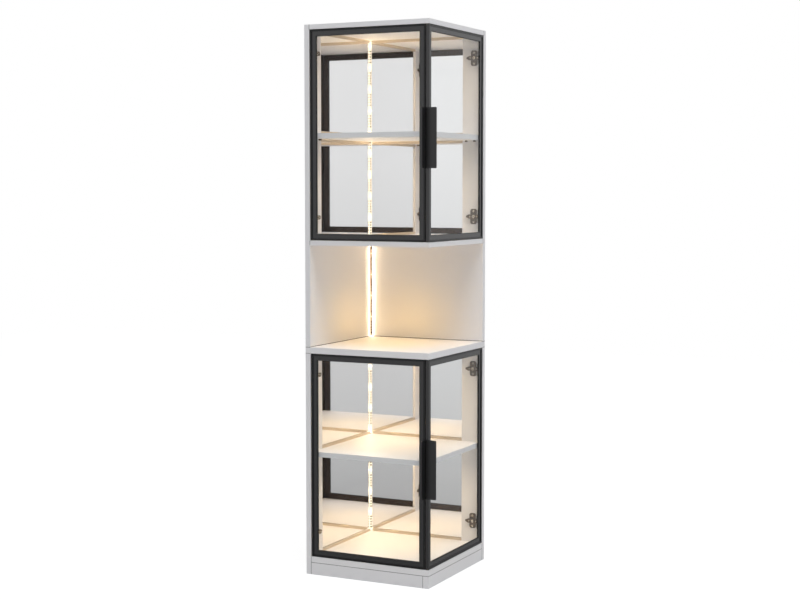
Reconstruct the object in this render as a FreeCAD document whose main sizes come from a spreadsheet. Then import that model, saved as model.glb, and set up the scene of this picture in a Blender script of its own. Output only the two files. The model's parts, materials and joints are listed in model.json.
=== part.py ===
import FreeCAD, Part
import os
import re
import Sketcher

# Corner curio cabinet: a square tower for the corner of a room. Two glazed compartments, one above
# and one below an open niche, each with two framed glass doors that meet at the front corner.
# Plan: the rear corner stands in the corner of the room, the left door faces -Y and hangs at the
# left end, the right door faces +X and hangs at the far right end. Units are millimetres, +Z is up,
# and the origin is on the floor under the middle of the whole outline, handles included.

doc = FreeCAD.newDocument("CornerCabinet")
sheet = doc.addObject("Spreadsheet::Sheet", "Sizes")

SIZES = (
    # Carcass boards
    ("plan_side", 400), ("side_thickness", 16), ("thin_thickness", 14), ("floor_thickness", 18),
    ("bottom_thickness", 18), ("plinth_height", 36), ("plinth_thickness", 18),
    ("lower_opening", 604), ("niche_opening", 299), ("upper_opening", 610),
    ("stile_width", 70), ("ledge_drop", 5), ("reveal", 6),
    # Mirrors in the windows of the side panels
    ("mirror_thickness", 3), ("backer_thickness", 9), ("backer_overlap", 8),
    # Shelves and their studs
    ("shelf_thickness", 15), ("shelf_height", 312), ("shelf_front_gap", 2), ("shelf_side_gap", 0.5),
    ("stud_radius", 2.5), ("stud_depth", 9), ("stud_reach", 9), ("stud_inset", 18), ("stud_margin", 6),
    ("stud_clearance", 0.1), ("shelf_corner_gap", 10),
    # Door frames and glass
    ("door_thickness", 9), ("frame_width", 18.5), ("lip_width", 5.5), ("lip_proud", 2),
    ("hinge_gap", 2.8), ("end_gap", 0.8), ("meeting_gap", 2.2),
    ("glass_thickness", 4), ("glass_seat", 7), ("glass_clearance", 0.1), ("groove_front", 3.2),
    # Edge pulls
    ("handle_length", 170), ("handle_reach", 24), ("handle_seat", 7.5), ("handle_thickness", 1.5),
    ("handle_corner", 3), ("handle_drop", 12),
    # Hinges
    ("hinge_inset", 66), ("pin_radius", 1.5), ("pin_length", 34), ("pin_clearance", 0.06),
    ("pin_edge", 2.75), ("pin_depth", 4.5), ("knuckle_radius", 2.6), ("knuckle_height", 11),
    ("notch_side_gap", 0.6), ("notch_front", 1.3), ("notch_play", 0.6),
    ("neck_thickness", 3.4), ("arm_start", 12.5), ("arm_end", 55), ("arm_width", 12),
    ("arm_height", 9.5), ("arm_edge", 2), ("arm_tail_share", 0.7), ("arm_taper", 10), ("arm_tip", 4),
    ("plate_thickness", 2), ("plate_line", 32), ("plate_height", 46), ("plate_wing", 21),
    ("plate_corner", 4), ("plate_tail", 22),
    ("wing_height", 38), ("wing_thickness", 1.6), ("wing_edge", 0.8),
    # Light strips in the rear corner
    ("profile_front", 6), ("light_gap", 3), ("strip_width", 7), ("strip_thickness", 0.8),
    ("strip_end_gap", 4), ("chip_side", 3.5), ("chip_height", 0.9), ("chip_pitch", 16.6),
    # One overrun serves all cuts
    ("overrun", 4),
)
for row, (alias, number) in enumerate(SIZES, start=1):
    sheet.set("A%d" % row, alias)
    sheet.set("B%d" % row, str(number))
    sheet.setAlias("B%d" % row, alias)
doc.recompute()


def cells(text):
    """Names the sheet in front of every size in a sum."""
    return re.sub(r"\b(?!sqrt|floor\()[a-z_]+\b", lambda found: "Sizes." + found.group(), text)


def size(name):
    return float(sheet.get(name))


# Heights of the stacked levels, from the floor up
BOTTOM_TOP = "plinth_height + bottom_thickness"
FLOOR_UNDER = BOTTOM_TOP + " + lower_opening"
FLOOR_TOP = FLOOR_UNDER + " + floor_thickness"
CEILING_UNDER = FLOOR_TOP + " + niche_opening"
CEILING_TOP = CEILING_UNDER + " + thin_thickness"
TOP_UNDER = CEILING_TOP + " + upper_opening"
TOP = TOP_UNDER + " + thin_thickness"

# Plan: the four outer planes and the inner faces of the side panels
LEFT = "-plan_side / 2 - handle_reach / 2"
RIGHT = "plan_side / 2 - handle_reach / 2"
FRONT = "-plan_side / 2 + handle_reach / 2"
REAR = "plan_side / 2 + handle_reach / 2"
LEFT_IN = LEFT + " + side_thickness"
REAR_IN = REAR + " - side_thickness"


def place(thing, x, y, z):
    thing.setExpression("Placement.Base.x", cells(x))
    thing.setExpression("Placement.Base.y", cells(y))
    thing.setExpression("Placement.Base.z", cells(z))
    return thing


def block(name, start, extent):
    """A box from its low corner and its three extents."""
    thing = doc.addObject("Part::Box", name)
    for side, length in zip(("Length", "Width", "Height"), extent):
        thing.setExpression(side, cells(length))
    return place(thing, *start)


def cut(name, base, *tools):
    """Takes the tools off the base one after the other."""
    for count, tool in enumerate(tools, start=1):
        result = doc.addObject("Part::Cut", name if count == len(tools) else "%s_%d" % (name, count))
        result.Base = base
        result.Tool = tool
        base = result
    return base


def origin_plane(body, role):
    return next(item for item in body.Origin.OriginFeatures if item.Role == role)


def flat_sketch(body, name, role, lift="0"):
    sketch = body.newObject("Sketcher::SketchObject", name)
    sketch.AttachmentSupport = (origin_plane(body, role), [""])
    sketch.MapMode = "FlatFace"
    if lift != "0":
        sketch.setExpression("AttachmentOffset.Base.z", cells(lift))
    return sketch


def fix_point(sketch, edge, end, x, y):
    """Ties one end of a line, or a circle's centre, to two sizes."""
    for kind, text in (("DistanceX", x), ("DistanceY", y)):
        number = sketch.addConstraint(Sketcher.Constraint(kind, edge, end, 1.0))
        sketch.setExpression("Constraints[%d]" % number, cells(text))


def draw_outline(sketch, points):
    """A closed outline whose corners are tied to sizes."""
    first = sketch.GeometryCount
    count = len(points)
    rough = [FreeCAD.Vector(size("plan_side"), 0, 0)]
    turn = FreeCAD.Rotation(FreeCAD.Vector(0, 0, 1), 360.0 / count)
    while len(rough) < count:
        rough.append(turn.multVec(rough[-1]))
    for index in range(count):
        sketch.addGeometry(Part.LineSegment(rough[index], rough[(index + 1) % count]), False)
    for index, (x, y) in enumerate(points):
        following = first + (index + 1) % count
        sketch.addConstraint(Sketcher.Constraint("Coincident", first + index, 2, following, 1))
        fix_point(sketch, first + index, 1, x, y)


def draw_circle(sketch, x, y, radius):
    edge = sketch.addGeometry(Part.Circle(FreeCAD.Vector(0, 0, 0), FreeCAD.Vector(0, 0, 1), 1.0), False)
    fix_point(sketch, edge, 3, x, y)
    number = sketch.addConstraint(Sketcher.Constraint("Radius", edge, 1.0))
    sketch.setExpression("Constraints[%d]" % number, cells(radius))


def rectangle(x, y, width, height):
    right = "%s + %s" % (x, width)
    top = "%s + %s" % (y, height)
    return ((x, y), (right, y), (right, top), (x, top))


def pad(body, sketch, length, midplane=False):
    feature = body.newObject("PartDesign::Pad", sketch.Name + "_pad")
    feature.Profile = sketch
    feature.setExpression("Length", cells(length))
    feature.Midplane = midplane
    sketch.Visibility = False
    return feature


def pocket(body, sketch, length, midplane=False, reverse=False):
    feature = body.newObject("PartDesign::Pocket", sketch.Name + "_pocket")
    feature.Profile = sketch
    feature.setExpression("Length", cells(length))
    feature.Midplane = midplane
    feature.Reversed = reverse
    sketch.Visibility = False
    return feature


def round_edges(body, along, radius):
    """Rounds the edges of the body's last feature that run along one axis."""
    doc.recompute()
    last = body.Tip
    names = []
    for number, edge in enumerate(last.Shape.Edges, start=1):
        start, end = edge.Vertexes[0].Point, edge.Vertexes[-1].Point
        run = end - start
        if run.Length and run.cross(along).Length < 0.001 * run.Length:
            names.append("Edge%d" % number)
    feature = body.newObject("PartDesign::Fillet", body.Name + "_rounding")
    feature.Base = (last, names)
    feature.setExpression("Radius", cells(radius))
    return feature


nodes = []


def keep(thing, label):
    thing.Label = label
    nodes.append(thing)
    return thing


# Carcass boards
# The bottom, ceiling and top boards lie between the side panels, the niche floor runs over them.
INNER_SIDE = "plan_side - side_thickness"
for label, level, thickness in (("bottom_panel", "plinth_height", "bottom_thickness"),
                                ("niche_ceiling", CEILING_UNDER, "thin_thickness"),
                                ("top_panel", TOP_UNDER, "thin_thickness")):
    keep(block(label, (LEFT_IN, FRONT, level), (INNER_SIDE, INNER_SIDE, thickness)), label)
keep(block("niche_floor", (LEFT, FRONT, FLOOR_UNDER), ("plan_side", "plan_side", "floor_thickness")),
     "niche_floor")
keep(block("plinth_left", (LEFT_IN, FRONT, "0"),
           (INNER_SIDE + " - plinth_thickness", "plinth_thickness", "plinth_height")), "plinth_left")
keep(block("plinth_right", (RIGHT + " - plinth_thickness", FRONT, "0"),
           ("plinth_thickness", INNER_SIDE, "plinth_height")), "plinth_right")

# Side panels: one board each, with two windows from the hinge stile to the rear corner and a rail
# between them behind the shelf. Behind the windows lie the mirror and then the backer, each in a
# recess of its own, and the two mirrors meet in the rear corner.
WINDOW = "plan_side - stile_width"
LEFT_MIRROR = LEFT + " + backer_thickness + mirror_thickness"
REAR_MIRROR = REAR + " - backer_thickness - mirror_thickness"
LIGHT_ROOM = "profile_front + light_gap"
STILE_END = FRONT + " + stile_width"


def corner_block(name, reach, low, high):
    """A block that trims the rear corner square to its diagonal.

    Its face lies where the distances from the two inner side faces add up to the reach.
    """
    tool = doc.addObject("Part::Box", name)
    tool.setExpression("Length", cells("side_thickness * 2"))
    tool.setExpression("Width", cells("side_thickness * 4"))
    tool.setExpression("Height", cells(between(low, high)))
    tool.Placement.Rotation = FreeCAD.Rotation(FreeCAD.Vector(0, 0, 1), -45)
    return place(tool, LEFT_IN + " + (" + reach + ") / 2 - sqrt(2) * side_thickness * 2",
                 REAR_IN + " - (" + reach + ") / 2", low)


def between(low, high):
    return high + " - (" + low + ")"


LEVELS = (
    # name, foot and head of the side panel, low and high edge of its mirror, clear opening from, window to
    ("upper", FLOOR_TOP, TOP, CEILING_TOP + " - ledge_drop", TOP_UNDER + " + ledge_drop",
     CEILING_TOP, TOP_UNDER + " - reveal"),
    ("lower", "0", FLOOR_UNDER, BOTTOM_TOP + " - ledge_drop", FLOOR_UNDER, BOTTOM_TOP, FLOOR_UNDER),
)

SHELF_INSET = "door_thickness + shelf_front_gap"
STUD_SETBACKS = (SHELF_INSET + " + stud_inset", "stile_width - backer_overlap - stud_margin")


def stud_level(opening_low):
    return opening_low + " + shelf_height - shelf_thickness - stud_radius"


def stud_hole(name, x, y, z, along):
    """A blind hole for a shelf stud, drilled from the inner face of a stile."""
    tool = doc.addObject("Part::Cylinder", name)
    tool.setExpression("Radius", cells("stud_radius + stud_clearance"))
    tool.setExpression("Height", cells("stud_depth + stud_clearance + overrun"))
    tool.Placement.Rotation = FreeCAD.Rotation(FreeCAD.Vector(0, 0, 1), along)
    return place(tool, x, y, z)


for level, foot, head, low, high, opening_low, window_top in LEVELS:
    tall = between(low, high)
    rebate_top = " + backer_overlap" if level == "upper" else ""
    rebate_low = low + " - backer_overlap"
    rebate = tall + " + backer_overlap" + rebate_top
    shelf_low = opening_low + " + shelf_height - shelf_thickness"
    bays = ((opening_low + " + reveal", shelf_low + " - reveal"),
            (shelf_low + " + shelf_thickness + reveal", window_top))

    panel = block("left_board_" + level, (LEFT, FRONT, foot),
                  ("side_thickness", "plan_side", between(foot, head)))
    cuts = [block("left_window_%s_%d" % (level, count), (LEFT, STILE_END, bay_low),
                  ("side_thickness + overrun", WINDOW + " + overrun", between(bay_low, bay_high)))
            for count, (bay_low, bay_high) in enumerate(bays)]
    cuts.append(block("left_recess_" + level, (LEFT + " - overrun", STILE_END, low),
                      ("overrun + backer_thickness + mirror_thickness", WINDOW + " + overrun", tall)))
    cuts.append(block("left_seat_" + level,
                      (LEFT + " - overrun", STILE_END + " - backer_overlap", rebate_low),
                      ("overrun + backer_thickness", WINDOW + " + backer_overlap + overrun", rebate)))
    cuts.append(block("left_light_room_" + level, (LEFT, REAR_MIRROR + " - (" + LIGHT_ROOM + ")", low),
                      ("side_thickness + overrun", LIGHT_ROOM + " + side_thickness", tall)))
    for count, setback in enumerate(STUD_SETBACKS):
        cuts.append(stud_hole("left_hole_%s_%d" % (level, count), LEFT_IN + " - stud_depth - stud_clearance",
                              FRONT + " + " + setback, stud_level(opening_low), FreeCAD.Vector(1, 0, 0)))
    keep(cut("left_panel_" + level, panel, *cuts), "side_panel_%s_left" % level)

    panel = block("right_board_" + level, (LEFT_IN, REAR_IN, foot),
                  (INNER_SIDE, "side_thickness", between(foot, head)))
    wide = INNER_SIDE + " - stile_width + overrun"
    cuts = [block("right_window_%s_%d" % (level, count),
                  (LEFT_IN + " - overrun", REAR_IN + " - overrun", bay_low),
                  (wide, "side_thickness + overrun", between(bay_low, bay_high)))
            for count, (bay_low, bay_high) in enumerate(bays)]
    cuts.append(block("right_recess_" + level, (LEFT_IN + " - overrun", REAR_MIRROR, low),
                      (wide, "backer_thickness + mirror_thickness + overrun", tall)))
    cuts.append(block("right_seat_" + level,
                      (LEFT_IN + " - overrun", REAR + " - backer_thickness", rebate_low),
                      (wide + " + backer_overlap", "backer_thickness + overrun", rebate)))
    cuts.append(block("right_light_room_" + level, (LEFT_MIRROR, REAR_IN + " - overrun", low),
                      (LIGHT_ROOM, "side_thickness + overrun", tall)))
    for count, setback in enumerate(STUD_SETBACKS):
        cuts.append(stud_hole("right_hole_%s_%d" % (level, count), RIGHT + " - (" + setback + ")",
                              REAR_IN + " + stud_depth + stud_clearance", stud_level(opening_low),
                              FreeCAD.Vector(0, -1, 0)))
    keep(cut("right_panel_" + level, panel, *cuts), "side_panel_%s_right" % level)

    # Backers and mirrors: the left ones run into the corner, the right ones butt against them
    keep(block("mirror_left_" + level, (LEFT + " + backer_thickness", STILE_END, low),
               ("mirror_thickness", WINDOW + " - backer_thickness", tall)), "mirror_%s_left" % level)
    keep(block("mirror_right_" + level, (LEFT_MIRROR, REAR_MIRROR, low),
               (WINDOW + " - backer_thickness - mirror_thickness", "mirror_thickness", tall)),
         "mirror_%s_right" % level)
    keep(block("backer_left_" + level, (LEFT, STILE_END + " - backer_overlap", rebate_low),
               ("backer_thickness", WINDOW + " + backer_overlap", rebate)), "mirror_backer_%s_left" % level)
    right_backer = block("backer_right_board_" + level,
                         (LEFT + " + backer_thickness", REAR + " - backer_thickness", rebate_low),
                         (WINDOW + " + backer_overlap - backer_thickness", "backer_thickness", rebate))
    # Above and below the window the right backer starts where the left side panel ends
    corners = [block("backer_corner_%s_%d" % (level, count),
                     (LEFT, REAR_IN, edge), ("side_thickness", "side_thickness * 2", "backer_overlap"))
               for count, edge in enumerate((rebate_low, high))]
    keep(cut("backer_right_" + level, right_backer, *corners), "mirror_backer_%s_right" % level)

    # Shelf, trimmed at the rear corner so that it clears the light profile
    span = "plan_side - side_thickness - shelf_side_gap - (" + SHELF_INSET + ")"
    board = block("shelf_board_" + level,
                  (LEFT_IN + " + shelf_side_gap", FRONT + " + " + SHELF_INSET, shelf_low),
                  (span, span, "shelf_thickness"))
    recess = "(side_thickness - backer_thickness - mirror_thickness)"
    corner = corner_block("shelf_corner_" + level, "profile_front + shelf_corner_gap - 2 * " + recess,
                          shelf_low + " - overrun", shelf_low + " + shelf_thickness + overrun")
    keep(cut("shelf_" + level, board, corner), "shelf_" + level)


def group(name, copies):
    """Identical pieces of hardware placed as one group of separate solids."""
    links = []
    for count, (master, rotation, position) in enumerate(copies):
        link = doc.addObject("App::Link", "%s_%d" % (name, count))
        link.LinkedObject = master
        link.Placement = FreeCAD.Placement(FreeCAD.Vector(0, 0, 0), rotation)
        links.append(place(link, *position))
    compound = doc.addObject("Part::Compound", name)
    compound.Links = links
    return keep(compound, name)


X, Y, Z = FreeCAD.Vector(1, 0, 0), FreeCAD.Vector(0, 1, 0), FreeCAD.Vector(0, 0, 1)


def turned(x_axis, y_axis):
    """The rotation that lays a piece's own X and Y along the two given directions."""
    return FreeCAD.Rotation(x_axis, y_axis, x_axis.cross(y_axis), "XYZ")


# Shelf studs in the four stiles
stud = doc.addObject("PartDesign::Body", "stud")
section = flat_sketch(stud, "stud_section", "YZ_Plane")
draw_circle(section, "0", "0", "stud_radius")
pad(stud, section, "stud_depth + stud_reach")
studs = []
for level in LEVELS:
    for setback in STUD_SETBACKS:
        studs.append((stud, turned(X, Y), (LEFT_IN + " - stud_depth", FRONT + " + " + setback,
                                           stud_level(level[5]))))
        studs.append((stud, turned(-Y, X), (RIGHT + " - (" + setback + ")", REAR_IN + " + stud_depth",
                                            stud_level(level[5]))))
group("shelf_studs", studs)


# Light profiles and strips in the rear corner
# The profile is a three-sided batten: in the corner of the side panels in the niche, and in the
# corner of the two mirrors in the glazed compartments.
BATTEN = (("0", "0"), ("profile_front", "0"), ("0", "-profile_front"))
battens = []
for level, low, high, deep_x, deep_y in (("upper", CEILING_TOP, TOP_UNDER, LEFT_MIRROR, REAR_MIRROR),
                                         ("niche", FLOOR_TOP, CEILING_UNDER, LEFT_IN, REAR_IN),
                                         ("lower", BOTTOM_TOP, FLOOR_UNDER, LEFT_MIRROR, REAR_MIRROR)):
    batten = doc.addObject("PartDesign::Body", "batten_" + level)
    section = flat_sketch(batten, "batten_section_" + level, "XY_Plane")
    draw_outline(section, BATTEN)
    pad(batten, section, between(low, high))
    battens.append((batten, turned(X, Y), (deep_x, deep_y, low)))

    strip = doc.addObject("PartDesign::Body", "strip_" + level)
    run = between(low, high) + " - strip_end_gap * 2"
    tape = flat_sketch(strip, "tape_" + level, "XY_Plane")
    draw_outline(tape, rectangle("-strip_width / 2", "0", "strip_width", run))
    pad(strip, tape, "strip_thickness")
    chip = flat_sketch(strip, "chip_" + level, "XY_Plane", "strip_thickness")
    draw_outline(chip, rectangle("-chip_side / 2", "chip_pitch / 2 - chip_side / 2",
                                 "chip_side", "chip_side"))
    first_chip = pad(strip, chip, "chip_height")
    row = strip.newObject("PartDesign::LinearPattern", "chips_" + level)
    row.Originals = [first_chip]
    row.Direction = (origin_plane(strip, "Y_Axis"), [""])
    row.setExpression("Occurrences", "floor((" + cells(run) + ") / Sizes.chip_pitch)")
    row.setExpression("Length", "(floor((" + cells(run) + ") / Sizes.chip_pitch) - 1) * Sizes.chip_pitch")
    strip.Tip = row
    strip.Placement = FreeCAD.Placement(FreeCAD.Vector(0, 0, 0), turned((X + Y).normalize(), Z))
    place(strip, deep_x + " + profile_front / 2", deep_y + " - profile_front / 2", low + " + strip_end_gap")
    keep(strip, "led_strip_" + level)
group("led_profiles", battens)


# Hinge arm: a cross-shaped plate on the stile, an arm that stands off the stile, a neck and a
# knuckle round the hinge pin. Its own X runs off the stile, Y back from the front plane, Z up.
PIN_OFF = "hinge_gap + pin_edge"
arm = doc.addObject("PartDesign::Body", "hinge_arm")
plate = flat_sketch(arm, "arm_plate", "YZ_Plane")
near, far = "plate_line - plate_wing / 2", "plate_line + plate_wing / 2"
foot, head = "-plate_height / 2", "plate_height / 2"
draw_outline(plate, ((near, foot + " + plate_corner"), (near + " + plate_corner", foot),
                     (far + " - plate_corner", foot), (far, foot + " + plate_corner"),
                     (far, head + " - plate_corner"), (far + " - plate_corner", head),
                     (near + " + plate_corner", head), (near, head + " - plate_corner")))
pad(arm, plate, "plate_thickness")
profile = flat_sketch(arm, "arm_profile", "XY_Plane")
draw_outline(profile, (("0", "plate_tail"), ("0", "arm_end"), ("arm_height * arm_tail_share", "arm_end"),
                       ("arm_height", "arm_end - arm_height"), ("arm_height", "arm_start"),
                       ("arm_edge", "arm_start"), ("arm_edge", "plate_tail")))
pad(arm, profile, "arm_width", True)
tail = flat_sketch(arm, "arm_tail", "YZ_Plane")
for way in ("", "-"):
    draw_outline(tail, (("arm_end - arm_taper", way + "arm_width / 2"),
                        ("arm_end + overrun", way + "arm_width / 2"),
                        ("arm_end + overrun", way + "arm_tip / 2"), ("arm_end", way + "arm_tip / 2")))
pocket(arm, tail, "arm_height + overrun", reverse=True)
neck = flat_sketch(arm, "arm_neck", "XY_Plane")
draw_outline(neck, rectangle(PIN_OFF + " - neck_thickness / 2", "pin_depth", "neck_thickness",
                             "arm_start - pin_depth + overrun"))
pad(arm, neck, "knuckle_height", True)
knuckle = flat_sketch(arm, "arm_knuckle", "XY_Plane")
draw_circle(knuckle, PIN_OFF, "pin_depth", "knuckle_radius")
pad(arm, knuckle, "knuckle_height", True)
bore = flat_sketch(arm, "arm_bore", "XY_Plane")
draw_circle(bore, PIN_OFF, "pin_depth", "pin_radius + pin_clearance")
pocket(arm, bore, "knuckle_height + overrun", True)

# Hinge wing on the back of the door frame, slotted for the arm, and the hinge pin
wing = doc.addObject("PartDesign::Body", "hinge_wing")
outline = flat_sketch(wing, "wing_outline", "XY_Plane")
SLOT = "arm_width / 2 + notch_play"
SLOT_END = "pin_edge + knuckle_radius + notch_side_gap"
draw_outline(outline, (("-wing_height / 2", "wing_edge"), ("-(" + SLOT + ")", "wing_edge"),
                       ("-(" + SLOT + ")", SLOT_END), (SLOT, SLOT_END), (SLOT, "wing_edge"),
                       ("wing_height / 2", "wing_edge"), ("wing_height / 2", "frame_width - wing_edge"),
                       ("-wing_height / 2", "frame_width - wing_edge")))
pad(wing, outline, "wing_thickness")
pin = doc.addObject("PartDesign::Body", "hinge_pin")
section = flat_sketch(pin, "pin_section", "XY_Plane")
draw_circle(section, "0", "0", "pin_radius")
pad(pin, section, "pin_length", True)


def frame_member(name, length, rotation, position, hinged=False):
    """One mitred length of the frame section: proud lip outside, sunk face and glass groove inside."""
    body = doc.addObject("PartDesign::Body", name)

    def band(title, edge, inner, lift="0"):
        sketch = flat_sketch(body, name + title, "XY_Plane", lift)
        draw_outline(sketch, ((edge, edge), (length + " - (" + edge + ")", edge),
                              (length + " - (" + inner + ")", inner), (inner, inner)))
        return sketch

    pad(body, band("_outline", "0", "frame_width"), "door_thickness")
    pocket(body, band("_sunk", "lip_width", "frame_width + overrun"), "lip_proud", reverse=True)
    pocket(body, band("_groove", "frame_width - glass_seat", "frame_width + overrun", "groove_front"),
           "glass_thickness + glass_clearance * 2", reverse=True)
    if hinged:
        for count, along in enumerate(("hinge_inset", length + " - hinge_inset")):
            notch = flat_sketch(body, "%s_notch_%d" % (name, count), "XY_Plane", "notch_front")
            draw_outline(notch, rectangle(along + " - knuckle_height / 2 - notch_play", "-overrun",
                                          "knuckle_height + notch_play * 2",
                                          "overrun + " + SLOT_END))
            pocket(body, notch, "door_thickness", reverse=True)
            hole = flat_sketch(body, "%s_hole_%d" % (name, count), "YZ_Plane", along)
            draw_circle(hole, "pin_edge", "pin_depth", "pin_radius + pin_clearance")
            pocket(body, hole, "pin_length + pin_clearance * 2", True)
    body.Placement = FreeCAD.Placement(FreeCAD.Vector(0, 0, 0), rotation)
    return keep(place(body, *position), name)


def door(level, side, low, opening):
    """One framed glass door; across runs from the viewer's left to right, inward into the cabinet."""
    tag = "_%s_%s" % (level, side)
    tall = opening + " - end_gap * 2"
    base = low + " + end_gap"
    wide = "plan_side - side_thickness - hinge_gap"
    if side == "left":
        wide += " - door_thickness - meeting_gap"
        across, inward = X, Y
    else:
        across, inward = Y, -X

    def spot(along, deep, up):
        if side == "left":
            return (LEFT_IN + " + hinge_gap + " + along, FRONT + " + " + deep, base + " + " + up)
        return (RIGHT + " - (" + deep + ")", FRONT + " + " + along, base + " + " + up)

    left_stile = (turned(across.cross(inward), across), spot("0", "0", "0"))
    right_stile = (turned(-across.cross(inward), -across), spot(wide, "0", tall))
    hinge_side, free_side = (left_stile, right_stile) if side == "left" else (right_stile, left_stile)
    frame_member("hinge_stile" + tag, tall, *hinge_side, hinged=True)
    frame_member("free_stile" + tag, tall, *free_side)
    frame_member("bottom_rail" + tag, wide, turned(-across, Z), spot(wide, "0", "0"))
    frame_member("top_rail" + tag, wide, turned(across, -Z), spot("0", "0", tall))

    glass_edge = "frame_width - glass_seat + glass_clearance"
    pane = (wide + " - (" + glass_edge + ") * 2", tall + " - (" + glass_edge + ") * 2")
    if side == "left":
        sheet_start = spot(glass_edge, "groove_front + glass_clearance", glass_edge)
        extent = (pane[0], "glass_thickness", pane[1])
    else:
        sheet_start = spot(glass_edge, "groove_front + glass_clearance + glass_thickness", glass_edge)
        extent = ("glass_thickness", pane[0], pane[1])
    keep(block("glass" + tag, sheet_start, extent), "glass" + tag)

    # The pull is a flat bar on the free edge of the door that stands out past its front
    pull = doc.addObject("PartDesign::Body", "pull" + tag)
    outline = flat_sketch(pull, "pull_outline" + tag, "XY_Plane")
    draw_outline(outline, rectangle("0", "0", "handle_length", "handle_reach + handle_seat"))
    pad(pull, outline, "handle_thickness")
    round_edges(pull, Z, "handle_corner")
    middle = "(" + tall + ") / 2 - handle_drop - handle_length / 2"
    if side == "left":
        pull.Placement = FreeCAD.Placement(FreeCAD.Vector(0, 0, 0), turned(Z, Y))
        place(pull, *spot(wide + " + handle_thickness", "-handle_reach", middle))
    else:
        pull.Placement = FreeCAD.Placement(FreeCAD.Vector(0, 0, 0), turned(Z, X))
        place(pull, *spot("-handle_thickness", "handle_seat", middle))
    keep(pull, "handle" + tag)

    wings, pins = [], []
    for up in ("hinge_inset", tall + " - hinge_inset"):
        if side == "left":
            wings.append((wing, turned(Z, across), spot("0", "door_thickness", up)))
            pins.append((pin, turned(X, Y), spot("pin_edge", "pin_depth", up)))
        else:
            wings.append((wing, turned(-Z, -across), spot(wide, "door_thickness", up)))
            pins.append((pin, turned(X, Y), spot(wide + " - pin_edge", "pin_depth", up)))
    group("hinge_wings" + tag, wings)
    group("hinge_pins" + tag, pins)


for level, low, opening in (("upper", CEILING_TOP, "upper_opening"), ("lower", BOTTOM_TOP, "lower_opening")):
    door(level, "left", low, opening)
    door(level, "right", low, opening)
    arms = []
    for up in ("hinge_inset", opening + " - end_gap * 2 - hinge_inset"):
        height = low + " + end_gap + " + up
        arms.append((arm, turned(X, Y), (LEFT_IN, FRONT, height)))
        arms.append((arm, turned(-Y, -X), (RIGHT, REAR_IN, height)))
    group("hinge_arms_" + level, arms)

doc.recompute()
for thing in doc.Objects:
    if "Invalid" in thing.State or "Error" in thing.State:
        raise RuntimeError("%s did not build" % thing.Label)
os.makedirs("parts", exist_ok=True)
for node in nodes:
    if node.Shape.isNull() or not node.Shape.isValid() or not node.Shape.Solids:
        raise RuntimeError("%s has no sound solid" % node.Label)
    node.Shape.exportStep("parts/%s.step" % node.Label)
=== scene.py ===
# %% [markdown]
# # A lit corner cabinet
# A square tower stands in the corner of a room. Two glazed compartments sit above and below an
# open niche, and a strip of small lights runs up the rear corner. The construction comes from the
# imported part; this script gives it surfaces, small hardware, light and a camera. Lengths are metres.

# %% Load the construction
import json
import math

import bpy
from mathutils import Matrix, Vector


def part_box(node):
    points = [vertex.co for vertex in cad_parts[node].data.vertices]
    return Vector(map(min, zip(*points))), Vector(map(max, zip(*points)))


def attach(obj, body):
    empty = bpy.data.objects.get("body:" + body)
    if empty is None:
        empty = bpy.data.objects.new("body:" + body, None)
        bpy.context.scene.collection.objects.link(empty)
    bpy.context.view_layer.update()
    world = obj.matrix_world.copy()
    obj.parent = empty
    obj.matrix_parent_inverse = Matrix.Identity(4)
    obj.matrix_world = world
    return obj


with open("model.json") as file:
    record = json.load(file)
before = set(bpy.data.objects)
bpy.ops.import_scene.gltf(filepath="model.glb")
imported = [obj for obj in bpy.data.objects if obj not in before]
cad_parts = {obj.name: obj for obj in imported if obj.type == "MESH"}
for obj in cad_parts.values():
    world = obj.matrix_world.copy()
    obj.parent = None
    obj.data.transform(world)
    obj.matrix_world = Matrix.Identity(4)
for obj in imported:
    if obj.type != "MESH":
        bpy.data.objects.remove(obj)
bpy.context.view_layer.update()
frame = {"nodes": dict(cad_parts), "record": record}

nodes = frame["nodes"]
LEVELS = ("upper", "lower")
SIDES = ("left", "right")

# %% [markdown]
# ## Working with nodes
# Materials and the room's light are small networks of nodes. They could be wired line by line, but two
# helpers keep each network short to read: one adds nodes of the given kinds, and the other joins
# outputs to inputs, pair by pair.

# %% Node helpers


def add_nodes(tree, *kinds):
    return [tree.nodes.new("ShaderNode" + kind) for kind in kinds]


def join(tree, *pairs):
    for source, target in pairs:
        tree.links.new(source, target)


# %% [markdown]
# ## A shared surface effect
# No real finish is perfectly even. One group makes a fine grain that other materials use: it
# wanders a little in tone and in gloss, and gives a shallow relief. A painted picture could do the
# same, but noise needs no unwrapping and fits every piece. A material sets how coarse the grain is
# and how strong each effect is.

# %% Fine grain group
GRAIN_DETAIL, GRAIN_DEPTH = 4.0, 0.0005
NOISE_MIDDLE = 0.5
GRAIN_INPUTS = (("Scale", "Float", 40.0), ("Stretch", "Vector", (1, 1, 1)), ("Tone Spread", "Float", 0.03),
                ("Gloss", "Float", 0.4), ("Gloss Spread", "Float", 0.1), ("Relief", "Float", 0.05))
GRAIN_OUTPUTS = (("Tone", "Float"), ("Roughness", "Float"), ("Normal", "Vector"))


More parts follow.
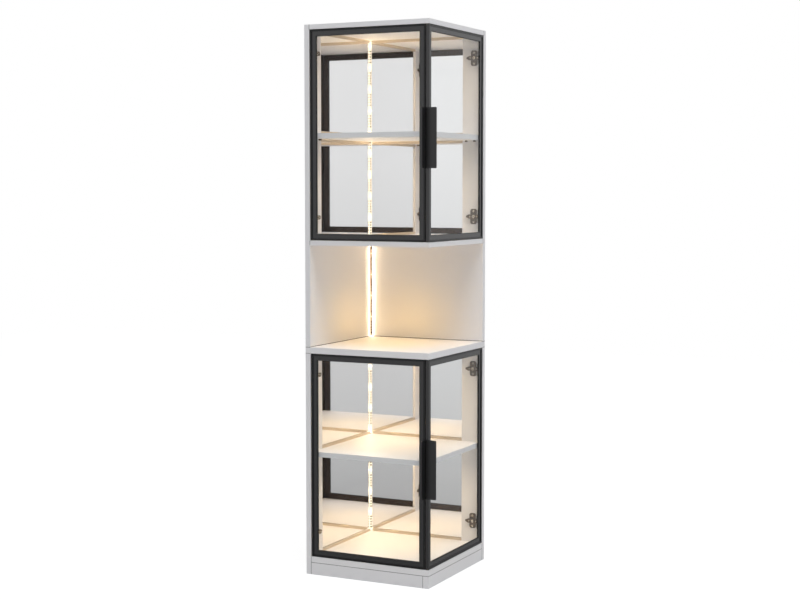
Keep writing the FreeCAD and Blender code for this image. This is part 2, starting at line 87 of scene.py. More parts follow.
def fine_grain_group():
    group = bpy.data.node_groups.new("fine_grain", "ShaderNodeTree")
    for name, kind, value in GRAIN_INPUTS:
        socket = group.interface.new_socket(name, in_out="INPUT", socket_type="NodeSocket" + kind)
        socket.default_value = value
    for name, kind in GRAIN_OUTPUTS:
        group.interface.new_socket(name, in_out="OUTPUT", socket_type="NodeSocket" + kind)
    given, made = group.nodes.new("NodeGroupInput"), group.nodes.new("NodeGroupOutput")
    place, scale, noise, centred, tone, gloss, bump = add_nodes(
        group, "TexCoord", "VectorMath", "TexNoise", "Math", "Math", "Math", "Bump")
    scale.operation, centred.operation = "MULTIPLY", "SUBTRACT"
    tone.operation = gloss.operation = "MULTIPLY_ADD"
    noise.inputs["Detail"].default_value = GRAIN_DETAIL
    centred.inputs[1].default_value = NOISE_MIDDLE
    tone.inputs[2].default_value = 1.0
    bump.inputs["Distance"].default_value = GRAIN_DEPTH
    join(group,
         (place.outputs["Object"], scale.inputs[0]), (given.outputs["Stretch"], scale.inputs[1]),
         (scale.outputs["Vector"], noise.inputs["Vector"]), (given.outputs["Scale"], noise.inputs["Scale"]),
         (noise.outputs["Fac"], centred.inputs[0]), (centred.outputs["Value"], tone.inputs[0]),
         (given.outputs["Tone Spread"], tone.inputs[1]), (tone.outputs["Value"], made.inputs["Tone"]),
         (centred.outputs["Value"], gloss.inputs[0]), (given.outputs["Gloss Spread"], gloss.inputs[1]),
         (given.outputs["Gloss"], gloss.inputs[2]), (gloss.outputs["Value"], made.inputs["Roughness"]),
         (given.outputs["Relief"], bump.inputs["Strength"]), (noise.outputs["Fac"], bump.inputs["Height"]),
         (bump.outputs["Normal"], made.inputs["Normal"]))
    return group


GRAIN = fine_grain_group()
print("group:", GRAIN.name, "with", len(GRAIN.nodes), "nodes")

# %% [markdown]
# ## Finishes
# Each finish starts from the same shader, a colour, and the grain. Laminate boards are nearly even
# and slightly glossy; the door frames are black anodised metal; hinges are dark bronzed steel. One
# function with a value for each trait keeps the finishes alike in build and easy to compare.

# %% A plain finish with grain


def finish(name, colour, metallic=0.0, gloss=0.4, spread=0.1, scale=40.0, stretch=(1, 1, 1), tone=0.03,
           relief=0.05, specular=0.5):
    """A colour with grain, for boards, metals and small parts alike."""
    material = bpy.data.materials.new(name)
    material.use_nodes = True
    tree = material.node_tree
    shader = tree.nodes["Principled BSDF"]
    shader.inputs["Metallic"].default_value = metallic
    shader.inputs["Specular IOR Level"].default_value = specular
    grain, tint = add_nodes(tree, "Group", "VectorMath")
    grain.node_tree = GRAIN
    for socket, value in (("Scale", scale), ("Stretch", stretch), ("Tone Spread", tone), ("Gloss", gloss),
                          ("Gloss Spread", spread), ("Relief", relief)):
        grain.inputs[socket].default_value = value
    tint.operation = "SCALE"
    tint.inputs[0].default_value = colour
    join(tree, (grain.outputs["Tone"], tint.inputs["Scale"]),
         (tint.outputs["Vector"], shader.inputs["Base Color"]),
         (grain.outputs["Roughness"], shader.inputs["Roughness"]),
         (grain.outputs["Normal"], shader.inputs["Normal"]))
    return material


# %% Finishes of the construction
BLACK = (0.009, 0.009, 0.0095)
ANODISED = {"spread": 0.04, "scale": 160, "tone": 0.1, "relief": 0.004}
FINISHES = {
    "white_board": finish("white_laminate", (0.80, 0.80, 0.815), gloss=0.42, spread=0.06, scale=300,
                          tone=0.015),
    "backer_board": finish("fibreboard", (0.42, 0.33, 0.24), gloss=0.8, scale=220, tone=0.25, relief=0.2),
    "mirror_glass": finish("silvered_glass", (0.93, 0.921, 0.921), metallic=1.0, gloss=0.015, spread=0.01,
                           scale=3, tone=0.01, relief=0.0),
    "frame_metal": finish("black_anodised", BLACK, gloss=0.3, specular=0.3, **ANODISED),
    "handle_black": finish("black_lacquer", BLACK, gloss=0.36, scale=500, tone=0.2, specular=0.6),
    "hinge_steel": finish("bronzed_steel", (0.13, 0.105, 0.085), metallic=1.0, gloss=0.34, spread=0.15,
                          scale=250, tone=0.15),
    "light_profile": finish("satin_aluminium", (0.78, 0.78, 0.78), metallic=1.0, scale=200,
                            stretch=(1, 1, 0.05)),
}
print("finishes:", ", ".join(sorted(FINISHES)))

# %% Finishes of single faces and small parts
SUNK = finish("satin_anodised", BLACK, gloss=0.25, specular=0.75, **ANODISED)
# Dark brown that is painted warm light from the strip, for the frame faces towards the shelves.
STRIP_GLOW_INNER = finish("anodised_painted_strip_glow", (0.024, 0.014, 0.009), gloss=0.4, specular=0.35, **ANODISED)
SHADOW = finish("board_seam", (0.10, 0.10, 0.105), gloss=0.9, spread=0.05, scale=300, tone=0.2)
# Beige painted shade for the lips round the mirrors.
LIP_SHADE = finish("beige_painted_lip_shade", (0.62, 0.53, 0.42), gloss=0.6, scale=300, tone=0.05)
SEAL = finish("black_seal", (0.02, 0.02, 0.02), gloss=0.6, scale=400, tone=0.2)
SCREW = finish("nickel_screw", (0.88, 0.78, 0.64), metallic=1.0, gloss=0.25, scale=400, tone=0.1)
# Dark caps of the chips on the tape, and painted shade in the drives of the screws.
DARK_CHIP_AND_SHADE = finish("dark_chip_and_drive_shade", (0.012, 0.009, 0.006), gloss=0.7, scale=900, tone=0.2, specular=0.1)
print("single finishes:", ", ".join(m.name for m in (SUNK, STRIP_GLOW_INNER, SHADOW, LIP_SHADE, SEAL, SCREW, DARK_CHIP_AND_SHADE)))

# %% [markdown]
# ## Clear glass
# Light from the room must reach the shelves through the panes. Real glass bends that light, which
# takes a renderer long to find, so for shadow rays the pane simply lets everything through. For all
# other rays it is plain clear glass. Seen at a slant it hardly shifts what lies behind it, so it bends
# light only a little, and a thin coat gives it its reflections.

# %% Door glass
GLASS_BEND, GLASS_COAT = 1.08, 0.2


def clear_glass():
    material = finish("clear_glass", (0.985, 0.995, 0.992), gloss=0.004, spread=0.004, scale=8, tone=0.01,
                      relief=0.0)
    tree = material.node_tree
    shader, out = tree.nodes["Principled BSDF"], tree.nodes["Material Output"]
    shader.inputs["Transmission Weight"].default_value = 1.0
    shader.inputs["IOR"].default_value = GLASS_BEND
    shader.inputs["Coat Weight"].default_value = GLASS_COAT
    path, clear, mix = add_nodes(tree, "LightPath", "BsdfTransparent", "MixShader")
    join(tree, (path.outputs["Is Shadow Ray"], mix.inputs["Fac"]), (shader.outputs["BSDF"], mix.inputs[1]),
         (clear.outputs["BSDF"], mix.inputs[2]), (mix.outputs["Shader"], out.inputs["Surface"]))
    return material


FINISHES["door_glass"] = clear_glass()
print("glass:", FINISHES["door_glass"].name)

# %% [markdown]
# ## Light strip
# The strip is a white tape with small lamps and chips on it, so bright that a camera sees only white.
# A lamp beside it could light the corner, but here the tape itself glows: the boards get its full
# strength, while the camera, the mirrors and the glass see it held back, so that it keeps its warm
# tint. Noise up the strip makes the strength wander a little, as it does from chip to chip. The tape
# in the open niche looks darker between its lamps.

# %% Warm light tape
WARM, AMBER = (1.0, 0.84, 0.62, 1.0), (1.0, 0.74, 0.47, 1.0)
TAPE_GLOW, BARE_GLOW = 58.0, 62.0
WANDER_SCALE = 60.0


def light_tape(name, strength, seen, spread=0.1, colour=(0.55, 0.48, 0.38), glow_colour=WARM):
    """Lights the boards with its strength, and shows to the camera, mirrors and glass as bright as seen."""
    material = finish(name, colour, gloss=0.5, scale=600, tone=0.05)
    tree = material.node_tree
    shader = tree.nodes["Principled BSDF"]
    place, split, noise, wander, path, either, eye, pick, glow = add_nodes(
        tree, "TexCoord", "SeparateXYZ", "TexNoise", "MapRange", "LightPath", "Math", "Math", "MapRange",
        "Math")
    noise.noise_dimensions = "1D"
    noise.inputs["Scale"].default_value = WANDER_SCALE
    wander.inputs["To Min"].default_value, wander.inputs["To Max"].default_value = 1 - spread, 1 + spread
    pick.inputs["To Min"].default_value, pick.inputs["To Max"].default_value = strength, seen
    either.operation = eye.operation = "MAXIMUM"
    glow.operation = "MULTIPLY"
    join(tree,
         (place.outputs["Object"], split.inputs["Vector"]), (split.outputs["Z"], noise.inputs["W"]),
         (noise.outputs["Fac"], wander.inputs["Value"]),
         (path.outputs["Is Camera Ray"], either.inputs[0]), (path.outputs["Is Glossy Ray"], either.inputs[1]),
         (either.outputs["Value"], eye.inputs[0]), (path.outputs["Is Transmission Ray"], eye.inputs[1]),
         (eye.outputs["Value"], pick.inputs["Value"]),
         (pick.outputs["Result"], glow.inputs[0]), (wander.outputs["Result"], glow.inputs[1]),
         (glow.outputs["Value"], shader.inputs["Emission Strength"]))
    shader.inputs["Emission Color"].default_value = glow_colour
    return material


FINISHES["light_strip"] = light_tape("light_tape", TAPE_GLOW, 0.95, colour=(0.3, 0.3, 0.3))
LENS = light_tape("light_lens", TAPE_GLOW, 1.7)
BARE_TAPE = light_tape("bare_tape", BARE_GLOW, 0.05, 0.15, (0.10, 0.08, 0.06), AMBER)
BARE_LENS = light_tape("bare_lens", BARE_GLOW, 0.5, colour=(0.3, 0.25, 0.2))
print("glowing:", ", ".join(m.name for m in (FINISHES["light_strip"], LENS, BARE_TAPE, BARE_LENS)))

# %% [markdown]
# ## Dressing
# The record names a finish for every piece of the construction, so one loop dresses them all. Only the
# tape in the niche differs from its record.

# %% Dress the construction
slot_of = {row["node"]: row["material_slot"] for row in frame["record"]["subparts"]}
for name, thing in nodes.items():
    thing.data.materials.clear()
    thing.data.materials.append(FINISHES[slot_of[name]])
nodes["led_strip_niche"].data.materials[0] = BARE_TAPE
print("dressed:", len(nodes), "nodes in", len(set(slot_of.values())), "finishes")

# %% [markdown]
# ## Door frame faces and eased edges
# The frame section has a proud lip round the outside and a sunk face inside it. The sunk face and the
# free edge are satin and catch more light than the lip. The face towards the shelves is duller, and its
# brown colour is painted warm light from the strip. The faces are picked by the way they point, so the
# bars needn't be cut up. Boards, frames and pulls have slightly broken edges, so that two boards side by
# side show a fine groove.

# %% Satin faces and painted warm light on the frames
FACING, LIP_STEP = 0.9, 0.001
SATIN, PAINTED_GLOW_FACE = 1, 2
counted = {SATIN: 0, PAINTED_GLOW_FACE: 0}
for name, thing in nodes.items():
    if slot_of[name] != "frame_metal":
        continue
    axis, way, edge_axis, edge_way = (1, -1, 0, 1) if name.endswith("left") else (0, 1, 1, -1)
    thing.data.materials.append(SUNK)
    thing.data.materials.append(STRIP_GLOW_INNER)
    outer = max(v.co[axis] * way for v in thing.data.vertices)
    for face in thing.data.polygons:
        sunk = face.normal[axis] * way > FACING and face.center[axis] * way < outer - LIP_STEP
        # Faces pointing inwards get the painted warm light of the strip.
        inner = face.normal[axis] * way < -FACING
        free_edge = name.startswith("free_stile") and face.normal[edge_axis] * edge_way > FACING
        if sunk or inner or free_edge:
            face.material_index = PAINTED_GLOW_FACE if inner else SATIN
            counted[face.material_index] += 1
print("frame faces: satin", counted[SATIN], "and warm", counted[PAINTED_GLOW_FACE])

# %% Broken edges
EASED = {"white_board": 0.0007, "frame_metal": 0.0003, "handle_black": 0.0003}
SHARP = math.radians(50)
for name, thing in nodes.items():
    if slot_of[name] in EASED:
        edge = thing.modifiers.new("broken_edge", "BEVEL")
        edge.width, edge.segments = EASED[slot_of[name]], 2
        edge.limit_method, edge.angle_limit = "ANGLE", SHARP
        edge.use_clamp_overlap = False
print("edges broken on", sum(bool(t.modifiers) for t in nodes.values()), "nodes")

# %% [markdown]
# ## Small hardware
# Seals, screws and the parts on the light tape are too small for the construction, so they are made
# here as plain meshes. Each could be an object of its own, but there are hundreds; a helper collects
# boxes and discs in one mesh and hangs it on a body, with which it then moves.

# %% Mesh helper


class Heap:
    """Collects simple solids into one mesh."""

    def __init__(self):
        self.points, self.faces = [], []

    def add(self, points, faces):
        start = len(self.points)
        self.points += [tuple(p) for p in points]
        self.faces += [tuple(start + i for i in face) for face in faces]

    def box(self, low, high):
        (a, b, c), (d, e, f) = low, high
        self.add([(a, b, c), (d, b, c), (d, e, c), (a, e, c), (a, b, f), (d, b, f), (d, e, f), (a, e, f)],
                 [(0, 3, 2, 1), (4, 5, 6, 7), (0, 1, 5, 4), (1, 2, 6, 5), (2, 3, 7, 6), (3, 0, 4, 7)])

    def disc(self, centre, axis, profile, count=20):
        """A turned button: profile is a list of (radius, height along the axis)."""
        turn = Vector((0, 0, 1)).rotation_difference(Vector(axis)).to_matrix()
        points, faces = [], []
        for radius, height in profile:
            for k in range(count):
                angle = 2 * math.pi * k / count
                points.append(Vector(centre) + turn @ Vector((radius * math.cos(angle),
                                                              radius * math.sin(angle), height)))
        for ring in range(len(profile) - 1):
            for k in range(count):
                a, b = ring * count + k, ring * count + (k + 1) % count
                faces.append((a, b, b + count, a + count))
        faces.append(tuple(range((len(profile) - 1) * count, len(profile) * count)))
        self.add(points, faces)

    def piece(self, name, body, material, slot=None):
        """Makes the mesh an object that moves with a body."""
        mesh = bpy.data.meshes.new(name)
        mesh.from_pydata(self.points, [], self.faces)
        mesh.materials.append(material)
        thing = bpy.data.objects.new(name, mesh)
        bpy.context.scene.collection.objects.link(thing)
        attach(thing, body)


# %% [markdown]
# ## Seams between boards
# Where two boards lie flush, the groove between their broken edges holds a line of shadow. A groove
# this fine would get lost in the picture, so a thin dark strip lies in it and stands a little proud.

# %% A seam between two points
SEAM_DEPTH = 0.0003
left, front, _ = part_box("niche_floor")[0]
right, rear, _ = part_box("niche_floor")[1]
left_in, rear_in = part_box("side_panel_upper_left")[1].x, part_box("side_panel_upper_right")[0].y
seams = Heap()


def seam(plane_axis, way, plane, start, end, proud=0.0001, half=0.0006):
    """A dark strip in a flush face that points along an axis, from one point on it to another."""
    low, high = [min(a, b) for a, b in zip(start, end)], [max(a, b) for a, b in zip(start, end)]
    for axis in range(3):
        if axis == plane_axis:
            low[axis], high[axis] = sorted((plane + way * proud, plane + way * (proud - SEAM_DEPTH)))
        elif high[axis] - low[axis] < 1e-6:
            low[axis], high[axis] = low[axis] - half, high[axis] + half
    seams.box(low, high)


print("inside faces at x", round(left_in, 4), "and y", round(rear_in, 4))

# %% Board seams
for name in ("plinth_left", "bottom_panel", "niche_ceiling", "top_panel"):
    foot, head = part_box(name)[0].z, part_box(name)[1].z
    seam(1, -1, front, (left_in, front, foot), (left_in, front, head))
    seam(0, 1, right, (right, rear_in, foot), (right, rear_in, head))
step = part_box("plinth_left")[1].z
seam(1, -1, front, (left_in, front, step), (right, front, step))
seam(0, 1, right, (right, front, step), (right, rear_in, step))
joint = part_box("plinth_right")[0].x
seam(1, -1, front, (joint, front, 0.0), (joint, front, step))
niche_under, niche_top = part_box("niche_floor")[0].z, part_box("niche_floor")[1].z
for level in (niche_under, niche_top):
    seam(1, -1, front, (left, front, level), (left_in, front, level))
    seam(0, 1, right, (right, rear_in, level), (right, rear, level))
    seam(0, -1, left, (left, front, level), (left, rear, level))
    seam(1, 1, rear, (left, rear, level), (right, rear, level))
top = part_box("top_panel")[1].z
seam(2, 1, top, (left_in, front, top), (left_in, rear, top))
seam(2, 1, top, (left_in, rear_in, top), (right, rear_in, top))

# %% Painted shadow where the niche walls meet its floor
WALL_SEAM_PROUD, WALL_SEAM_HALF = 0.0002, 0.0009
# A strip of painted shadow along the foot of both niche walls.
line = niche_top + WALL_SEAM_HALF
rear_corner = (left_in, rear_in, line)
seam(0, 1, left_in, (left_in, front, line), rear_corner, WALL_SEAM_PROUD, WALL_SEAM_HALF)
seam(1, -1, rear_in, rear_corner, (right, rear_in, line), WALL_SEAM_PROUD, WALL_SEAM_HALF)
seams.piece("board_seams", "cabinet", SHADOW)
print("seams:", len(seams.faces) // 6)

# %% [markdown]
# ## Lips round the mirrors
# Each mirror is let in behind a narrow lip of the panel, under the ceiling, over the floor and along
# the shelf. The lips carry a beige strip of painted shade, a little wider than the lip itself, which
# the mirrors double into a cross. A change of colour on the panel would stop at the lip, so the painted
# shade is a thin strip.

# %% Painted shade on the lips
STILE, SHADE_WIDTH, SHADE_THICK, CORNER_ROOM = 0.070, 0.008, 0.0002, 0.005
starts = []
for ground, shelf in (("niche_ceiling", "shelf_upper"), ("bottom_panel", "shelf_lower")):
    under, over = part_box(shelf)[0].z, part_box(shelf)[1].z
    starts += [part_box(ground)[1].z, under - SHADE_WIDTH, over]
starts.append(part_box("top_panel")[0].z - SHADE_WIDTH)
lip_shade_heap = Heap()
# Strips of painted shade on the lips of both inside walls.
for z in starts:
    lip_shade_heap.box((left_in, front + STILE, z), (left_in + SHADE_THICK, rear_in - CORNER_ROOM, z + SHADE_WIDTH))
    lip_shade_heap.box((left_in + CORNER_ROOM, rear_in - SHADE_THICK, z), (right - STILE, rear_in, z + SHADE_WIDTH))
lip_shade_heap.piece("painted_lip_shades", "cabinet", LIP_SHADE, "white_board")
print("painted lip shades:", len(starts) * 2)

# %% [markdown]
# ## Glass seals
# A black seal holds each pane in its frame and shows as a thin line round the glass, in front and
# behind. A bevelled curve could follow the pane, but four flat boxes to a side give the same line.

# %% Glass seals
SEAL_WIDTH, SEAL_STEP = 0.0012, 0.0006
for level in LEVELS:
    for side in SIDES:
        tag = "_%s_%s" % (level, side)
        low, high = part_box("glass" + tag)
        floor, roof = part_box("bottom_rail" + tag)[1].z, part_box("top_rail" + tag)[0].z
        across, first, last = ((0, "hinge_stile", "free_stile") if side == "left" else
                               (1, "free_stile", "hinge_stile"))
        depth = 1 - across
        start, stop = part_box(first + tag)[1][across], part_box(last + tag)[0][across]
        strips = ((start, stop, floor, floor + SEAL_WIDTH), (start, stop, roof - SEAL_WIDTH, roof),
                  (start, start + SEAL_WIDTH, floor, roof), (stop - SEAL_WIDTH, stop, floor, roof))
        heap = Heap()
        for face, way in ((low[depth], -1), (high[depth], 1)):
            near, far = sorted((face, face + way * SEAL_STEP))
            for begin, end, foot, head in strips:
                corner, far_corner = [0, 0, foot], [0, 0, head]
                corner[across], far_corner[across] = begin, end
                corner[depth], far_corner[depth] = near, far
                heap.box(corner, far_corner)
        heap.piece("glass_seal" + tag, "door" + tag, SEAL)
print("seals: front and back of", len(LEVELS) * len(SIDES), "panes")

# %% [markdown]
# ## Hinge screws
# Each hinge plate is fixed to its side panel by two screws, and its arm carries a large cam and two
# small adjusting screws. Two screws hold the wing on the back of the door frame. A screw is a turned button
# with a hollow, and a small dark disc in the hollow is painted shade where the drive is.

# %% A screw


def screw(heap, centre, axis, radius):
    """A pan head with a hollow in the middle."""
    heap.disc(centre, axis, [(radius, 0), (radius, radius * 0.25), (radius * 0.8, radius * 0.5),
                             (radius * 0.35, radius * 0.56), (radius * 0.3, radius * 0.3)])


def recess(heap, centre, axis, radius):
    """A dark disc of painted shade in the hollow of a screw."""
    heap.disc(centre, axis, [(radius * 0.42, radius * 0.4), (radius * 0.42, radius * 0.57)])


# %% Hinge screws
HINGE_INSET, PLATE_LINE, PLATE_TOP, ARM_TOP, WING_LINE = 0.066, 0.032, 0.002, 0.0095, 0.012
PLATE_SCREWS, PLATE_RADIUS = (-0.016, 0.016), 0.0032
WING_SCREWS, WING_RADIUS = (-0.0135, 0.0135), 0.0026
ARM_SCREWS = ((0.018, 0.0022), (0.029, 0.0046), (0.041, 0.0022))
for level in LEVELS:
    plates, bores = Heap(), Heap()
    for side in SIDES:
        tag = "_%s_%s" % (level, side)
        door_low, door_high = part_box("hinge_stile" + tag)
        wing_low, wing_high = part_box("hinge_wings" + tag)
        wings = Heap()
        for z in (door_low.z + HINGE_INSET, door_high.z - HINGE_INSET):
            if side == "left":
                spots = [((left_in + PLATE_TOP, front + PLATE_LINE, z + up), PLATE_RADIUS)
                         for up in PLATE_SCREWS]
                spots += [((left_in + ARM_TOP, front + back, z), wide) for back, wide in ARM_SCREWS]
                wing_spots = [(door_low.x + WING_LINE, wing_high.y, z + up) for up in WING_SCREWS]
                axis, wing_axis = (1, 0, 0), (0, 1, 0)
            else:
                spots = [((right - PLATE_LINE, rear_in - PLATE_TOP, z + up), PLATE_RADIUS)
                         for up in PLATE_SCREWS]
                spots += [((right - back, rear_in - ARM_TOP, z), wide) for back, wide in ARM_SCREWS]
                wing_spots = [(wing_low.x, door_high.y - WING_LINE, z + up) for up in WING_SCREWS]
                axis, wing_axis = (0, -1, 0), (-1, 0, 0)
            for spot, radius in spots:
                screw(plates, spot, axis, radius)
                recess(bores, spot, axis, radius)
            for spot in wing_spots:
                screw(wings, spot, wing_axis, WING_RADIUS)
        wings.piece("wing_screws" + tag, "door" + tag, SCREW, "hinge_steel")
    plates.piece("plate_screws_" + level, "cabinet", SCREW, "hinge_steel")
    bores.piece("screw_drive_shades_" + level, "cabinet", DARK_CHIP_AND_SHADE, "hinge_steel")
    print("hinges", level, "have", len(SIDES) * 2 * len(PLATE_SCREWS + ARM_SCREWS + WING_SCREWS), "screws")

# %% [markdown]
# ## Light tape
# Every fourth chip on the tape is a lamp with a round lens. The others are drivers with dark caps, and
# slightly smaller dark chips sit between some of them. A picture on the tape could show them, but as
# small tiles they also hide the glow behind them, as real ones do.

# %% A tile on the tape
outward = Vector((1, -1, 0)).normalized()
along = Vector((1, 1, 0)).normalized()


def tile(heap, base, wide, tall, thick):
    """A thin tile on the tape, from the middle of its back."""
    corners = ((-wide / 2, -tall / 2), (wide / 2, -tall / 2), (wide / 2, tall / 2), (-wide / 2, tall / 2))
    heap.add([base + along * a + outward * o + Vector((0, 0, b)) for o in (0, thick) for a, b in corners],
             [(4, 5, 6, 7), (0, 1, 5, 4), (1, 2, 6, 5), (2, 3, 7, 6), (3, 0, 4, 7)])


# %% Lenses and chips on the light tape
PITCH, CHIP_HEIGHT, GROUP = 0.0166, 0.0009, 4
DRIVER, SMALL_CHIP = (0.0052, 0.0048, 0.0004), (0.0046, 0.0042, 0.0005)
LENS_PROFILE, LENS_SIDES = [(0.0016, 0), (0.0013, 0.0004)], 14
for level in ("upper", "niche", "lower"):
    low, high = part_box("led_strip_" + level)
    points = [v.co for v in nodes["led_strip_" + level].data.vertices]
    chip_face = max(p.dot(outward) for p in points)
    middle = (max(p.dot(along) for p in points) + min(p.dot(along) for p in points)) / 2
    lenses, chips = Heap(), Heap()
    count = int((high.z - low.z) / PITCH)
    for k in range(count):
        spot = outward * chip_face + along * middle + Vector((0, 0, low.z + PITCH * (k + 0.5)))
        if k % GROUP == GROUP - 1:
            lenses.disc(spot, outward, LENS_PROFILE, LENS_SIDES)
        else:
            tile(chips, spot, *DRIVER)
        if k % GROUP < 2:
            tile(chips, spot - outward * CHIP_HEIGHT + Vector((0, 0, PITCH / 2)), *SMALL_CHIP)
    lenses.piece("light_lenses_" + level, "cabinet", BARE_LENS if level == "niche" else LENS, "light_strip")
    chips.piece("light_drivers_" + level, "cabinet", DARK_CHIP_AND_SHADE, "light_strip")
    print("light tape", level, "has", count, "chips")

# %% [markdown]
# ## Room
# The camera sees a white page behind the cabinet, directly and through the panes. The mirrors see a
# soft grey room that darkens towards the floor. The boards are lit by a third light that comes mostly
# from above. A real room could be built round the cabinet, but one world with a switch for each kind of
# ray is quicker to tune. A depth of bounces below one half means that there was none yet.

# %% Room seen in the mirrors
world = bpy.data.worlds.new("studio")
bpy.context.scene.world = world
world.use_nodes = True
tree = world.node_tree
path, place, split, level, slope = add_nodes(
    tree, "LightPath", "TexCoord", "SeparateXYZ", "MapRange", "ValToRGB")
level.inputs["From Min"].default_value, level.inputs["From Max"].default_value = -0.5, 0.5
ramp = slope.color_ramp
ramp.elements[0].position, ramp.elements[0].color = 0.0, (0.30, 0.30, 0.32, 1)
ramp.elements[1].position, ramp.elements[1].color = 1.0, (0.86, 0.86, 0.87, 1)
COOL = 1.01
for position, grey in ((0.27, 0.38), (0.36, 0.64), (0.52, 0.87), (0.60, 0.91)):
    ramp.elements.new(position).color = (grey, grey, grey * COOL, 1)
join(tree, (place.outputs["Generated"], split.inputs["Vector"]), (split.outputs["Z"], level.inputs["Value"]),
     (level.outputs["Result"], slope.inputs["Fac"]))
print("room: a ramp of", len(ramp.elements), "greys")

# %% White page for the camera
bare, pane, direct, page = add_nodes(tree, "Math", "Math", "Math", "MixRGB")
bare.operation, pane.operation, direct.operation = "LESS_THAN", "MULTIPLY", "MAXIMUM"
page.inputs["Color2"].default_value = (1, 1, 1, 1)
join(tree, (path.outputs["Glossy Depth"], bare.inputs[0]), (bare.outputs["Value"], pane.inputs[0]),
     (path.outputs["Is Transmission Ray"], pane.inputs[1]), (path.outputs["Is Camera Ray"], direct.inputs[0]),
     (pane.outputs["Value"], direct.inputs[1]), (direct.outputs["Value"], page.inputs["Fac"]),
     (slope.outputs["Color"], page.inputs["Color1"]))
print("page: white straight on and through a pane, grey in a mirror")

# %% Light from above for the boards
FROM_SIDE, FROM_ABOVE = 0.10, 0.8
mirrored, seen, straight, view, overhead, pick = add_nodes(
    tree, "Math", "Math", "Math", "Math", "MapRange", "MixRGB")
mirrored.operation = seen.operation = "MAXIMUM"
straight.operation, view.operation = "LESS_THAN", "MULTIPLY"
overhead.inputs["To Min"].default_value, overhead.inputs["To Max"].default_value = FROM_SIDE, FROM_ABOVE
join(tree, (path.outputs["Is Glossy Ray"], mirrored.inputs[0]),
     (path.outputs["Is Transmission Ray"], mirrored.inputs[1]), (mirrored.outputs["Value"], seen.inputs[0]),
     (path.outputs["Is Camera Ray"], seen.inputs[1]), (path.outputs["Diffuse Depth"], straight.inputs[0]),
     (seen.outputs["Value"], view.inputs[0]), (straight.outputs["Value"], view.inputs[1]),
     (view.outputs["Value"], pick.inputs["Fac"]), (split.outputs["Z"], overhead.inputs["Value"]),
     (overhead.outputs["Result"], pick.inputs["Color1"]), (page.outputs["Color"], pick.inputs["Color2"]),
     (pick.outputs["Color"], tree.nodes["Background"].inputs["Color"]))
print("light on the boards:", FROM_SIDE, "from the side to", FROM_ABOVE, "from above")

# %% [markdown]
# ## Floor
# The floor is pale paper. Most of what the camera sees of it is an even white, so that the cabinet
# stands on a page, and the rest is lit paper, which keeps a faint shadow. Through a pane the floor
# isn't seen, and the mirrors don't show it, so that they keep the grey of the room.

# %% Floor sheet
REACH = 6.0
floor_mesh = bpy.data.meshes.new("floor")
floor_mesh.from_pydata([(-REACH, -REACH, 0), (REACH, -REACH, 0), (REACH, REACH, 0), (-REACH, REACH, 0)],
                       [], [(0, 1, 2, 3)])
floor = bpy.data.objects.new("floor", floor_mesh)
bpy.context.scene.collection.objects.link(floor)
floor.visible_glossy = False
print("floor:", 2 * REACH, "m wide")

# %% Floor paper
PAGE_SHARE, PAGE_GLOW = 0.75, 1.18
paper = finish("page", (0.74, 0.74, 0.75), gloss=0.9, scale=5, tone=0.02, relief=0.0)
tree = paper.node_tree
path, share, glow, mix, straight, view, through, pick = add_nodes(
    tree, "LightPath", "Math", "Emission", "MixShader", "Math", "Math", "BsdfTransparent", "MixShader")
glow.inputs["Color"].default_value = (1, 1, 1, 1)
glow.inputs["Strength"].default_value = PAGE_GLOW
share.operation = view.operation = "MULTIPLY"
share.inputs[1].default_value = PAGE_SHARE
straight.operation = "LESS_THAN"
join(tree, (path.outputs["Is Camera Ray"], share.inputs[0]), (share.outputs["Value"], mix.inputs["Fac"]),
     (tree.nodes["Principled BSDF"].outputs["BSDF"], mix.inputs[1]),
     (glow.outputs["Emission"], mix.inputs[2]), (path.outputs["Diffuse Depth"], straight.inputs[0]),
     (path.outputs["Is Transmission Ray"], view.inputs[0]), (straight.outputs["Value"], view.inputs[1]),
     (view.outputs["Value"], pick.inputs["Fac"]),
     (mix.outputs["Shader"], pick.inputs[1]), (through.outputs["BSDF"], pick.inputs[2]),
     (pick.outputs["Shader"], tree.nodes["Material Output"].inputs["Surface"]))
floor_mesh.materials.append(paper)
print("paper:", paper.name, "with", PAGE_SHARE, "of even white")

# %% [markdown]
# ## Studio lamps
# A large soft box, high before the front corner, lights the boards, and a weak fill lifts the right
# side. Sun or point lamps would throw hard shadows, so all lamps are areas. None of them shows to the
# camera, in the mirrors or through the glass.

# %% Soft lamps
WHITE = (1, 1, 1)


def soft_lamp(name, size, energy, spot, target, colour, spread=180):
    """An area lamp that lights the scene but isn't seen itself."""
    data = bpy.data.lights.new(name, "AREA")
    data.size, data.energy, data.color, data.spread = size, energy, colour, math.radians(spread)
    lamp = bpy.data.objects.new(name, data)
    bpy.context.scene.collection.objects.link(lamp)
    lamp.location = spot
    lamp.rotation_euler = (Vector(target) - lamp.location).to_track_quat("-Z", "Y").to_euler()
    lamp.visible_camera = lamp.visible_glossy = lamp.visible_transmission = False


soft_lamp("soft_box", 2.5, 130.0, (1.25, -1.35, 4.9), (0, 0, 0.7), WHITE)
soft_lamp("side_fill", 1.5, 5.0, (3.2, 0.2, 0.9), (0, 0, 0.8), WHITE)
print("studio lamps:", len(bpy.data.lights))

# %% [markdown]
# ## Light inside
# The strips brighten the rear corner. Their light also spreads through each space, and the mirrors
# throw it on, which a renderer finds only slowly. So small warm lamps stand for that spread light. In
# each glazed space one shines down, one shines up, and a very small one makes the glow where the strip
# meets the ceiling. The open niche has a deeper colour: one lamp makes the pool of light on its floor,
# and one lights its walls from below.

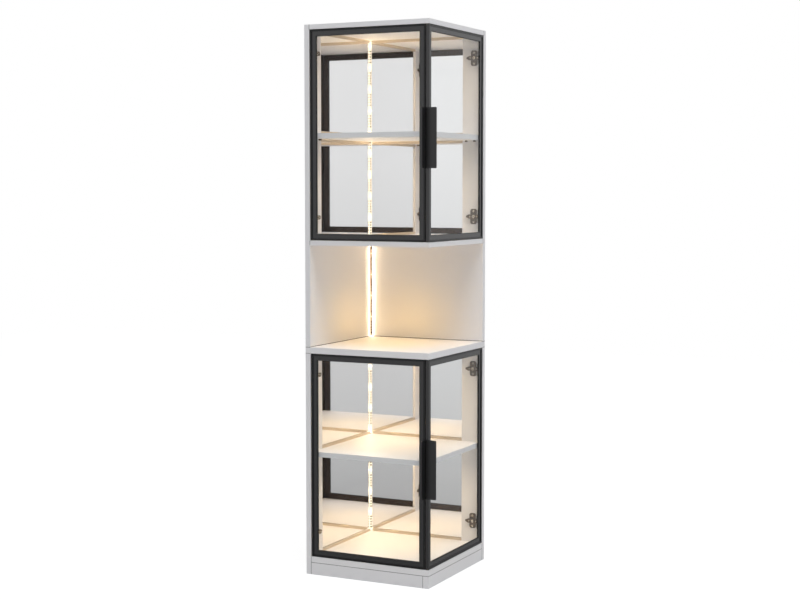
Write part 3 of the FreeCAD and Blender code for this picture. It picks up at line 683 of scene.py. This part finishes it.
# %% Warm light in the glazed spaces
INSIDE, GAP = (1.0, 0.735, 0.43), 0.012
DOWN_SIZE, DOWN_BACK, UP_SIZE, UP_BACK, UP_AIM, SPREAD = 0.18, 0.06, 0.14, 0.11, 0.13, 160
GLOW_SIZE, GLOW_POWER, GLOW_BACK, GLOW_DROP, GLOW_SPREAD = 0.03, 0.03, 0.15, 0.06, 170
# roof and ground of each glazed space, and the power that shines down and up in it
SPACES = (("top_panel", "shelf_upper", 0.52, 0.24), ("shelf_upper", "niche_ceiling", 0.52, 0.36),
          ("niche_floor", "shelf_lower", 0.72, 0.24), ("shelf_lower", "bottom_panel", 0.72, 0.24))


def towards_corner(back, z):
    """A point above the line from the middle of the cabinet to its rear corner."""
    return (-back, back, z)


for roof, ground, down, up in SPACES:
    high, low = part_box(roof)[0].z - GAP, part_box(ground)[1].z + GAP
    soft_lamp("light_down_" + roof, DOWN_SIZE, down, towards_corner(DOWN_BACK, high),
              towards_corner(DOWN_BACK, low), INSIDE, SPREAD)
    soft_lamp("light_up_" + roof, UP_SIZE, up, towards_corner(UP_BACK, low), towards_corner(UP_AIM, high),
              INSIDE, SPREAD)
    soft_lamp("light_glow_" + roof, GLOW_SIZE, GLOW_POWER, towards_corner(GLOW_BACK, high - GLOW_DROP),
              towards_corner(GLOW_BACK, high), INSIDE, GLOW_SPREAD)
print("warm light in", len(SPACES), "glazed spaces")

# %% Warm light in the niche
DEEP, NICHE_SIZE = (1.0, 0.60, 0.15), 0.16
POOL_POWER, POOL_BACK, POOL_SPREAD = 0.25, 0.02, 100
WALL_POWER, WALL_BACK = 0.10, 0.07
high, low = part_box("niche_ceiling")[0].z - GAP, niche_top + GAP
soft_lamp("light_pool_niche", NICHE_SIZE, POOL_POWER, towards_corner(POOL_BACK, high),
          towards_corner(POOL_BACK, low), DEEP, POOL_SPREAD)
soft_lamp("light_up_niche", NICHE_SIZE, WALL_POWER, towards_corner(WALL_BACK, low),
          towards_corner(WALL_BACK, high), DEEP)
print("lamps in all:", len(bpy.data.lights))

# %% [markdown]
# ## Camera
# The camera was found from the straight edges of the cabinet in the photo. It stands about four and a
# half metres away, 26 degrees to the right of straight before the left doors, and a little above the
# niche. Angles and a distance from a target are easier to fit and to read than a bare position.

# %% Camera
AZIMUTH, ELEVATION, DISTANCE = math.radians(26.3843), math.radians(4.1541), 4.58278
TARGET = Vector((-0.00165, 0.012, 0.80835))
SENSOR_WIDTH, LENS_LENGTH = 36.0, 69.0436
camera_data = bpy.data.cameras.new("camera")
camera_data.sensor_width, camera_data.lens = SENSOR_WIDTH, LENS_LENGTH
camera = bpy.data.objects.new("camera", camera_data)
bpy.context.scene.collection.objects.link(camera)
bpy.context.scene.camera = camera
level_reach = math.cos(ELEVATION)
back = Vector((math.sin(AZIMUTH) * level_reach, -math.cos(AZIMUTH) * level_reach, math.sin(ELEVATION)))
camera.location = TARGET + back * DISTANCE
camera.rotation_euler = back.to_track_quat("Z", "Y").to_euler()
bpy.context.scene.view_settings.view_transform = "Standard"
